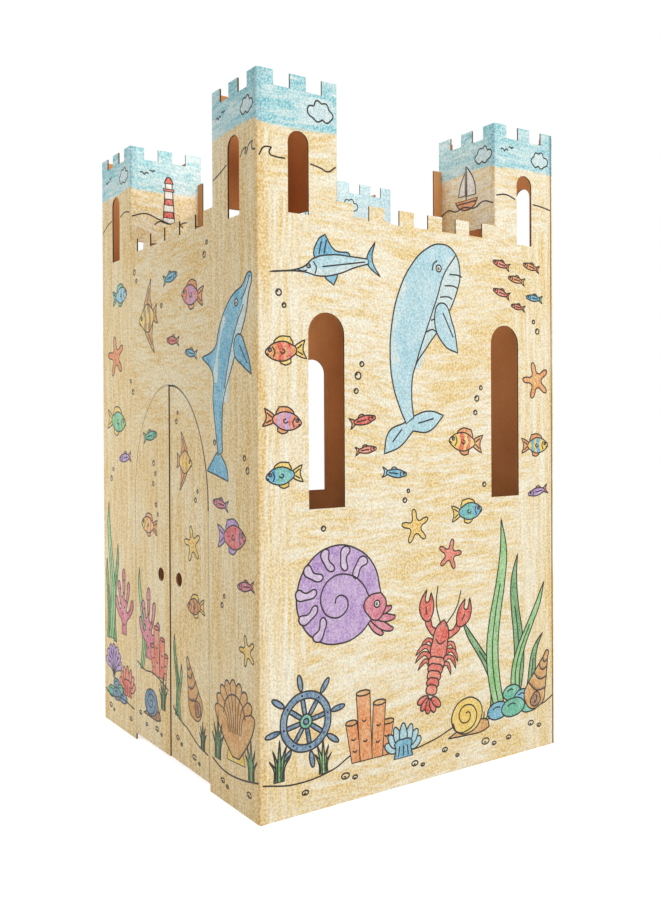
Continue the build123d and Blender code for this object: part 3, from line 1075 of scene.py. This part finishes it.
# Pictures of each side: motif, place and height in millimetres, size, turn, mirrored, then colours or points
AS_DRAWN = (0, 0, 1, 0, False)
PICTURES = {
    "right_wall": [
        (whale, 0, 792, 1.0, 58, False, LIGHT_BLUE, PALE_BLUE),
        (swordfish, -190, 898, 0.74, 10, True, LIGHT_BLUE, PALE_BLUE, BLUE),
        (minnow, 196, 934, 0.5, -12, False, CORAL, ORANGE),
        (minnow, 236, 908, 0.5, -8, False, ORANGE, YELLOW),
        (minnow, 196, 880, 0.5, -14, False, CORAL, RED),
        (minnow, 276, 936, 0.5, -10, False, ORANGE, CORAL),
        (minnow, 284, 876, 0.5, -4, False, BLUE, TEAL),
        (minnow, 240, 856, 0.42, -8, False, CORAL, ORANGE),
        (fish, -289, 752, 0.62, 6, False, ORANGE, YELLOW, RED),
        (fish, -284, 640, 0.58, -8, True, CORAL, ORANGE, PURPLE),
        (fish, -292, 552, 0.56, 4, False, BLUE, YELLOW, TEAL),
        (minnow, -130, 640, 0.62, 12, True, RED, ORANGE),
        (minnow, -124, 590, 0.5, 6, True, CORAL, ORANGE),
        (fish, 98, 600, 0.66, -6, False, YELLOW, ORANGE, RED),
        (starfish, 288, 716, 0.72, 16, False, ORANGE, YELLOW),
        (fish, 290, 590, 0.58, 0, True, YELLOW, ORANGE, BLUE),
        (minnow, 292, 500, 0.6, 10, False, PURPLE, PINK),
        (bubbles, *AS_DRAWN, (-296, 846, 5), (-286, 826, 3.5), (-140, 716, 6), (-132, 736, 4),
         (-144, 690, 4), (132, 680, 5), (142, 700, 3.5), (128, 654, 4), (292, 812, 5), (282, 830, 3.5),
         (-40, 500, 4), (-32, 516, 3), (-212, 462, 4), (150, 520, 4)),
        (nautilus, -180, 346, 1.0, 4, False, PURPLE, LILAC, PINK),
        (starfish, -16, 452, 0.62, 8, False, YELLOW, ORANGE),
        (starfish, 64, 396, 0.56, -14, False, CORAL, RED),
        (fish, 112, 472, 0.6, 4, True, BLUE, YELLOW, TEAL),
        (minnow, -62, 548, 0.6, -6, True, BLUE, LIGHT_BLUE),
        (ground_line, *AS_DRAWN, (-330, 62), (-270, 52), (-196, 60), (-150, 78), (-96, 74), (-40, 60),
         (20, 66), (90, 84), (160, 80), (230, 92), (300, 84), (330, 96)),
        (seaweed, 198, 84, 1.0, 0, False, GREEN, DARK_GREEN),
        (rocks, 226, 76, 0.95, 0, False, TEAL, BLUE),
        (lobster, 36, 226, 0.95, -14, False, RED, CORAL),
        (wheel, -248, 150, 0.98, 0, False, GREY_BLUE, TEAL),
        (grass, -300, 62, 0.8, 0, False, DARK_GREEN),
        (grass, -214, 58, 0.7, 0, True, GREEN),
        (tubes, -116, 62, 0.9, 0, False, ORANGE, OCHRE_RED),
        (anemone, -46, 50, 0.7, 0, False, LIGHT_BLUE, BLUE),
        (turret, 292, 130, 0.78, -24, False, OCHRE_RED, BROWN),
        (snail, 104, 96, 0.9, 0, True, YELLOW, OCHRE_RED),
        (pebbles, *AS_DRAWN, (-170, 44, 8), (-150, 38, 5), (-20, 34, 7), (-2, 28, 4), (50, 44, 6),
         (150, 40, 9), (172, 32, 5), (270, 52, 7), (292, 44, 5), (-250, 34, 6), (210, 36, 6), (80, 28, 4)),
        (cloud, 300, 1144, 0.9, 0, False, SKY_WHITE),
        (cloud, -214, 1146, 1.0, 0, True, SKY_WHITE),
        (ground_line, *AS_DRAWN, (-331, 1060), (-322, 1074), (-308, 1076, 1), (-312, 1066), (-300, 1062),
         (-282, 1062)),
        (ground_line, *AS_DRAWN, (-234, 1060), (-214, 1056), (-200, 1052), (-184, 1062)),
        (ground_line, *AS_DRAWN, (184, 1064), (208, 1068), (234, 1062)),
        (ground_line, *AS_DRAWN, (281, 1058), (306, 1056), (331, 1052)),
        (gulls, 206, 1150, 0.8, 0, False),
    ],
    "front_wall": [
        (dolphin, 230, 728, 1.12, 66, False, BLUE, PALE_BLUE),
        (angelfish, -96, 842, 0.8, 6, False, YELLOW, OCHRE_RED, BROWN),
        (fish, 96, 866, 0.7, -8, False, CORAL, ORANGE, PURPLE),
        (minnow, 10, 908, 0.7, 6, True, BLUE, TEAL),
        (minnow, 20, 790, 0.6, -6, False, RED, ORANGE),
        (fish, -232, 902, 0.62, 4, True, LIGHT_BLUE, TEAL, BLUE),
        (starfish, -262, 776, 0.86, 10, False, ORANGE, RED),
        (fish, -252, 640, 0.8, -6, True, GREEN, YELLOW, TEAL),
        (minnow, -214, 566, 0.7, 6, False, PURPLE, PINK),
        (minnow, 96, 762, 0.55, -10, False, BLUE, LIGHT_BLUE),
        (bubbles, *AS_DRAWN, (-160, 940, 5), (-150, 922, 3.5), (-30, 860, 4), (-170, 700, 5),
         (-182, 722, 3.5), (-290, 520, 5), (-280, 540, 3.5), (300, 560, 5), (290, 580, 4), (186, 604, 4),
         (150, 930, 5), (160, 950, 3.5), (210, 330, 4), (218, 346, 3)),
        (leaf, -312, 178, 1, 0, False, DARK_GREEN, 170, 20, 6),
        (leaf, -274, 176, 1, 0, False, DARK_GREEN, 210, 22, -9, 0.05),
        (leaf, -296, 180, 1, 0, False, GREEN, 290, 28, 12),
        (coral, -225, 200, 0.9, 0, False, PINK),
        (fan_coral, -282, 98, 0.66, 0, False, PURPLE),
        (anemone, -208, 76, 0.72, 0, False, CORAL, RED),
        (rocks, -262, 56, 0.7, 0, False, GREY_BLUE, TEAL),
        (fish, 252, 448, 0.78, 2, True, PINK, PURPLE, RED),
        (minnow, 206, 500, 0.62, -6, False, PINK, PURPLE),
        (minnow, 292, 372, 0.62, 6, False, PINK, RED),
        (scallop, 252, 142, 1.3, 4, False, OCHRE_RED, YELLOW),
        (grass, 192, 66, 0.9, 0, False, DARK_GREEN),
        (grass, 308, 62, 0.8, 0, True, GREEN),
        (starfish, 296, 268, 0.52, 18, False, YELLOW, ORANGE),
        (ground_line, *AS_DRAWN, (-331, 66), (-296, 58), (-240, 64), (-172, 58)),
        (ground_line, *AS_DRAWN, (172, 62), (214, 52), (268, 54), (331, 66)),
        (pebbles, *AS_DRAWN, (-300, 36, 7), (-282, 30, 4), (-190, 34, 6), (210, 34, 6), (226, 28, 4),
         (300, 38, 7)),
        (cloud, 302, 1146, 0.8, 0, False, SKY_WHITE),
        (cloud, -214, 1144, 0.9, 0, False, SKY_WHITE),
        (gulls, 206, 1148, 0.8, 0, False),
        (gulls, -304, 1146, 0.8, 0, False),
        (ground_line, *AS_DRAWN, (184, 1050), (206, 1056), (234, 1066)),
        (ground_line, *AS_DRAWN, (281, 1068), (290, 1078), (302, 1080, 1), (298, 1070), (310, 1082),
         (322, 1086, 1), (320, 1074), (331, 1070)),
        (ground_line, *AS_DRAWN, (-331, 1046), (-306, 1058), (-281, 1064)),
        (ground_line, *AS_DRAWN, (-234, 1064), (-210, 1070), (-184, 1066)),
    ],
    "left_leaf": [
        # Painted shadow along the leaf's arch and crease, faint on this leaf
        (arch_shadow_line, 0, 0, 1, 0, True, 0.25),
        (minnow, -86, 612, 0.72, 8, True, TEAL, GREEN),
        (bubbles, *AS_DRAWN, (-70, 560, 5), (-62, 540, 3.5), (-72, 520, 4), (-60, 480, 4), (-52, 462, 3)),
        (fish, -98, 438, 0.6, -4, False, YELLOW, ORANGE, CORAL),
        (leaf, -132, 150, 1.0, 0, False, GREEN, 200, 20, 12),
        (coral, -98, 176, 0.92, 0, False, PINK),
        (tubes, -48, 150, 0.72, 0, False, CORAL, RED),
        (snail, -88, 92, 0.72, 0, True, GREY_BLUE, BROWN),
        (grass, -32, 92, 0.8, 0, False, DARK_GREEN),
        (ground_line, *AS_DRAWN, (-156, 160), (-120, 150), (-80, 152), (-40, 144), (-8, 134)),
        (pebbles, *AS_DRAWN, (-140, 60, 6), (-60, 48, 7), (-40, 42, 4), (-110, 44, 5)),
    ],
    "right_leaf": [
        # Painted shadow along the leaf's arch and crease, darker on this leaf
        (arch_shadow_line, *AS_DRAWN, 1.4),
        (angelfish, 66, 566, 0.6, -4, True, YELLOW, ORANGE, OCHRE_RED),
        (bubbles, *AS_DRAWN, (30, 640, 4), (36, 656, 3), (110, 500, 4), (118, 516, 3)),
        (starfish, 96, 420, 0.66, 12, False, YELLOW, ORANGE),
        (fish, 104, 310, 0.56, 6, False, ORANGE, YELLOW, BROWN),
        (leaf, 24, 96, 1.0, 0, False, DARK_GREEN, 150, 16, 8),
        (leaf, 40, 92, 1.0, 0, False, GREEN, 104, 14, -7),
        (turret, 96, 158, 0.76, 24, False, OCHRE_RED, BROWN),
        (grass, 134, 64, 0.6, 0, False, DARK_GREEN),
        (ground_line, *AS_DRAWN, (8, 110), (40, 92), (72, 84), (116, 66), (156, 60)),
        (pebbles, *AS_DRAWN, (30, 56, 6), (46, 48, 4), (100, 40, 7), (120, 34, 4)),
    ],
    "back_wall": [
        (dolphin, 60, 806, 1.15, -14, True, BLUE, PALE_BLUE),
        (dolphin, -128, 620, 0.95, 18, False, LIGHT_BLUE, PALE_BLUE),
        (nautilus, 190, 560, 1.0, -6, False, PURPLE, LILAC, PINK),
        (angelfish, -246, 860, 0.86, 4, True, ORANGE, YELLOW, RED),
        (fish, -96, 926, 0.7, -4, False, CORAL, ORANGE, PURPLE),
        (fish, 262, 900, 0.72, 6, True, YELLOW, ORANGE, BLUE),
        (minnow, 270, 716, 0.62, -6, False, TEAL, GREEN),
        (minnow, 30, 690, 0.62, 6, True, RED, ORANGE),
        (minnow, 20, 560, 0.62, -6, True, PINK, PURPLE),
        (minnow, 52, 520, 0.62, 2, True, PINK, PURPLE),
        (minnow, -2, 494, 0.62, 0, True, PINK, PURPLE),
        (starfish, -262, 470, 0.8, 14, False, ORANGE, YELLOW),
        (fish, -160, 440, 0.66, 6, True, BLUE, YELLOW, TEAL),
        (bubbles, *AS_DRAWN, (-180, 760, 5), (-170, 780, 4), (-184, 738, 3.5), (290, 660, 5),
         (282, 682, 3.5), (-30, 420, 5), (-22, 440, 3.5), (110, 430, 4), (-290, 640, 5), (-282, 660, 3.5),
         (150, 940, 5)),
        (ground_line, *AS_DRAWN, (-330, 88), (-270, 76), (-190, 84), (-100, 66), (-20, 74), (70, 60),
         (150, 72), (240, 58), (330, 70)),
        (seaweed, -238, 84, 0.86, 0, False, GREEN, DARK_GREEN),
        (rocks, -200, 70, 0.9, 0, False, TEAL, BLUE),
        (chest, -90, 84, 1.15, 4, False, BROWN, GREY_BLUE, YELLOW),
        (coral, 24, 66, 1.1, 0, True, CORAL),
        (scallop, 110, 104, 0.86, -6, False, PINK, YELLOW),
        (lobster, 214, 258, 0.86, 20, False, RED, CORAL),
        (fan_coral, 268, 62, 0.86, 0, False, PURPLE),
        (anemone, 196, 58, 0.74, 0, False, ORANGE, OCHRE_RED),
        (starfish, 90, 300, 0.62, -8, False, YELLOW, ORANGE),
        (turret, -20, 290, 0.6, 64, False, OCHRE_RED, BROWN),
        (grass, -160, 72, 0.8, 0, False, DARK_GREEN),
        (grass, 70, 58, 0.7, 0, True, GREEN),
        (pebbles, *AS_DRAWN, (-300, 44, 8), (-280, 38, 5), (-150, 36, 7), (-20, 36, 6), (0, 30, 4),
         (150, 34, 8), (170, 28, 5), (250, 36, 6)),
        (cloud, 300, 1144, 0.9, 0, True, SKY_WHITE),
        (cloud, -300, 1146, 0.9, 0, False, SKY_WHITE),
        (gulls, 206, 1148, 0.8, 0, False),
        (sun, -210, 1146, 0.9, 0, False, YELLOW),
        (ground_line, *AS_DRAWN, (-331, 1052), (-306, 1062), (-281, 1058)),
        (ground_line, *AS_DRAWN, (-234, 1060), (-208, 1066), (-184, 1058)),
        (ground_line, *AS_DRAWN, (184, 1058), (210, 1066), (234, 1060)),
        (ground_line, *AS_DRAWN, (281, 1058), (306, 1048), (331, 1054)),
    ],
    "left_wall": [
        (nautilus, -4, 830, 1.1, -8, False, LILAC, PURPLE, PINK),
        (swordfish, 214, 886, 0.74, -6, True, BLUE, PALE_BLUE, LIGHT_BLUE),
        (fish, -214, 890, 0.74, 6, True, ORANGE, YELLOW, RED),
        (minnow, -286, 932, 0.56, 0, True, CORAL, ORANGE),
        (minnow, -140, 948, 0.56, 6, True, BLUE, TEAL),
        (angelfish, 44, 624, 0.72, 4, False, YELLOW, ORANGE, BLUE),
        (fish, -84, 650, 0.66, -6, True, CORAL, ORANGE, PURPLE),
        (minnow, -60, 560, 0.62, 4, False, TEAL, GREEN),
        (starfish, -288, 700, 0.72, -10, False, CORAL, RED),
        (fish, -290, 560, 0.6, 4, False, BLUE, YELLOW, TEAL),
        (fish, 284, 720, 0.6, -4, False, GREEN, YELLOW, TEAL),
        (minnow, 290, 612, 0.62, 8, True, PURPLE, PINK),
        (starfish, 288, 500, 0.62, 20, False, YELLOW, ORANGE),
        (bubbles, *AS_DRAWN, (140, 740, 5), (132, 760, 3.5), (-140, 740, 5), (-134, 720, 4), (290, 800, 5),
         (-292, 800, 5), (-284, 816, 3.5), (110, 520, 5), (118, 540, 3.5), (-190, 440, 4), (200, 440, 4)),
        (dolphin, 30, 400, 1.1, 8, False, LIGHT_BLUE, PALE_BLUE),
        (fish, -230, 370, 0.7, 0, True, PINK, PURPLE, RED),
        (ground_line, *AS_DRAWN, (-330, 90), (-262, 74), (-180, 84), (-90, 70), (0, 80), (90, 64),
         (170, 74), (250, 64), (330, 78)),
        (seaweed, -20, 78, 0.66, 0, True, GREEN, DARK_GREEN),
        (coral, -110, 72, 1.1, 0, False, PINK),
        (tubes, -196, 74, 0.9, 0, True, PURPLE, LILAC),
        (snail, -272, 120, 0.86, 0, False, ORANGE, OCHRE_RED),
        (chest, 92, 78, 1.0, -4, False, BROWN, GREY_BLUE, YELLOW),
        (wheel, 244, 170, 1.0, 12, False, GREY_BLUE, TEAL),
        (grass, 180, 70, 0.8, 0, False, DARK_GREEN),
        (grass, 306, 72, 0.8, 0, True, GREEN),
        (anemone, 276, 60, 0.6, 0, False, CORAL, RED),
        (rocks, 20, 62, 0.7, 0, False, GREY_BLUE, TEAL),
        (pebbles, *AS_DRAWN, (-310, 46, 8), (-290, 38, 5), (-150, 38, 7), (-30, 36, 6), (60, 34, 5),
         (150, 36, 8), (170, 30, 5), (220, 34, 6)),
        (cloud, -300, 1144, 0.9, 0, False, SKY_WHITE),
        (cloud, 212, 1146, 0.9, 0, True, SKY_WHITE),
        (gulls, -210, 1146, 0.8, 0, False),
        (gulls, 300, 1146, 0.8, 0, True),
        (ground_line, *AS_DRAWN, (-331, 1056), (-306, 1048), (-281, 1054)),
        (ground_line, *AS_DRAWN, (-234, 1056), (-208, 1064), (-184, 1060)),
        (ground_line, *AS_DRAWN, (184, 1062), (210, 1054), (234, 1058)),
        (ground_line, *AS_DRAWN, (281, 1060), (306, 1066), (331, 1056)),
    ],
    "flaps_facing_right": [
        (lighthouse, -250, 1040, 0.95, 0, False, WHITE, RED),
        (gulls, -304, 1146, 0.8, 0, False),
        (ground_line, *AS_DRAWN, (-331, 1058), (-300, 1066), (-274, 1058), (-236, 1050), (-206, 1058),
         (-184, 1052)),
        (cloud, 212, 1144, 0.9, 0, False, SKY_WHITE),
    ],
    "flaps_facing_front": [
        (sailboat, 256, 1060, 0.9, 0, False, ORANGE, WHITE),
        (cloud, 304, 1144, 0.9, 0, False, SKY_WHITE),
        (ground_line, *AS_DRAWN, (184, 1050), (204, 1058), (226, 1052), (250, 1056), (280, 1050),
         (304, 1058), (331, 1050)),
        (dune, -254, 1040, 1.0, 0, True, GREEN),
        (cloud, -300, 1146, 0.9, 0, True, SKY_WHITE),
    ],
    "flaps_facing_left": [
        (sailboat, -256, 1058, 0.9, 0, True, RED, WHITE),
        (ground_line, *AS_DRAWN, (-331, 1052), (-304, 1058), (-276, 1050), (-236, 1056), (-206, 1050),
         (-184, 1056)),
        (dune, 252, 1042, 1.0, 0, False, GREEN),
        (cloud, 216, 1146, 0.8, 0, False, SKY_WHITE),
    ],
    "flaps_facing_back": [
        (lighthouse, 256, 1040, 0.95, 0, True, WHITE, BLUE),
        (ground_line, *AS_DRAWN, (184, 1052), (214, 1058), (244, 1050), (276, 1056), (304, 1052),
         (331, 1058)),
        (dune, -258, 1042, 1.0, 0, False, GREEN),
        (gulls, -214, 1146, 0.8, 0, False),
    ],
}


def side(turn, distance):
    """Frame of an upright side: x runs to the right as seen from outside, y up and z out of the card."""
    return (Matrix.Rotation(math.radians(turn), 4, "Z") @ Matrix.Translation((0, -distance, 0))
            @ Matrix.Rotation(math.pi / 2, 4, "X"))


# Bodies that the pictures ride on, and where each side lies. The right leaf rests a little inwards
FRONT = side(0, HALF)
HINGE = Matrix.Translation((CREASE, -HALF, 0))
SIDES = {
    "front_wall": ("castle", FRONT),
    "right_wall": ("castle", side(90, HALF)),
    "back_wall": ("castle", side(180, HALF)),
    "left_wall": ("castle", side(-90, HALF)),
    "left_leaf": ("left_leaf", FRONT),
    "right_leaf": ("right_leaf", HINGE @ Matrix.Rotation(-AJAR, 4, "Z") @ HINGE.inverted() @ FRONT),
    "flaps_facing_front": ("castle", side(0, -FLAP)),
    "flaps_facing_right": ("castle", side(90, -FLAP)),
    "flaps_facing_back": ("castle", side(180, -FLAP)),
    "flaps_facing_left": ("castle", side(-90, -FLAP)),
}
for name, (body, wall) in SIDES.items():
    picture = Picture()
    for entry in PICTURES[name]:
        picture.draw(*entry)
    picture.finish(name + "_picture", body, wall)


# Studio, with the camera fitted to the photograph
SENSOR = 36.0
LENS = 37.58
SHIFT = -0.02897
CAMERA_PLACE = (1.6232122, -1.0743256, 0.6401105)
YAW, PITCH, ROLL = (math.radians(angle) for angle in (55.769, -0.2, -0.285))
LAMPS = (
    ("right_lamp", (4.5, 0.4, 2.8), 2.0, 108),
    ("front_lamp", (-1.5, -1.3, 0.6), 1.0, 12),
    ("top_lamp", (0.0, -0.05, 1.62), 0.4, 3.8),
)
LAMP_AIM = Vector((0, 0, 0.6))
ROOM_LIGHT = 0.51
ROOM_SEEN = 1.0
FLOOR_HALF = 6.0
FLOOR_LEVEL = -0.0005
FLOOR_GREY = (0.9, 0.9, 0.9, 1)
FLOOR_GLOW = 0.6
PURE_WHITE = (1, 1, 1, 1)


def place_camera():
    """Camera at the photograph's viewpoint."""
    data = bpy.data.cameras.new("camera")
    data.sensor_width = SENSOR
    data.lens = LENS
    data.shift_y = SHIFT
    camera = add_object("camera", data)
    level = Matrix.Rotation(YAW, 4, "Z") @ Matrix.Rotation(math.pi / 2 + PITCH, 4, "X")
    camera.matrix_world = Matrix.Translation(CAMERA_PLACE) @ (level @ Matrix.Rotation(ROLL, 4, "Z"))
    bpy.context.scene.camera = camera


def add_lamp(name, place, size, power):
    """Soft square lamp that points at the middle of the castle."""
    data = bpy.data.lights.new(name, "AREA")
    data.size = size
    data.energy = power
    lamp = add_object(name, data)
    aim = LAMP_AIM - Vector(place)
    lamp.matrix_world = Matrix.Translation(place) @ aim.to_track_quat("-Z", "Y").to_matrix().to_4x4()


def light_room():
    """Even white surroundings, seen as white and lighting the card softly."""
    world = bpy.data.worlds.new("studio")
    bpy.context.scene.world = world
    world.use_nodes = True
    tree = world.node_tree
    background = tree.nodes["Background"]
    connect(tree, background.inputs["Strength"], mix_value(tree, clear_view(tree), ROOM_LIGHT, ROOM_SEEN))
    background.inputs["Color"].default_value = PURE_WHITE


def lay_floor():
    """White floor that keeps the castle's soft shadow."""
    mesh = bpy.data.meshes.new("floor")
    sheet = bmesh.new()
    bmesh.ops.create_grid(sheet, x_segments=1, y_segments=1, size=FLOOR_HALF)
    sheet.to_mesh(mesh)
    sheet.free()
    floor = add_object("floor", mesh)
    floor.location.z = FLOOR_LEVEL
    material, tree, shader = new_material("studio_floor")
    shader.inputs["Base Color"].default_value = FLOOR_GREY
    shader.inputs["Roughness"].default_value = 0.9
    shader.inputs["Specular IOR Level"].default_value = 0.0
    connect(tree, shader.inputs["Emission Strength"], calc(tree, "MULTIPLY", clear_view(tree), FLOOR_GLOW))
    shader.inputs["Emission Color"].default_value = PURE_WHITE
    mesh.materials.append(material)


place_camera()
light_room()
lay_floor()
for lamp_entry in LAMPS:
    add_lamp(*lamp_entry)
bpy.context.scene.view_settings.view_transform = "Standard"
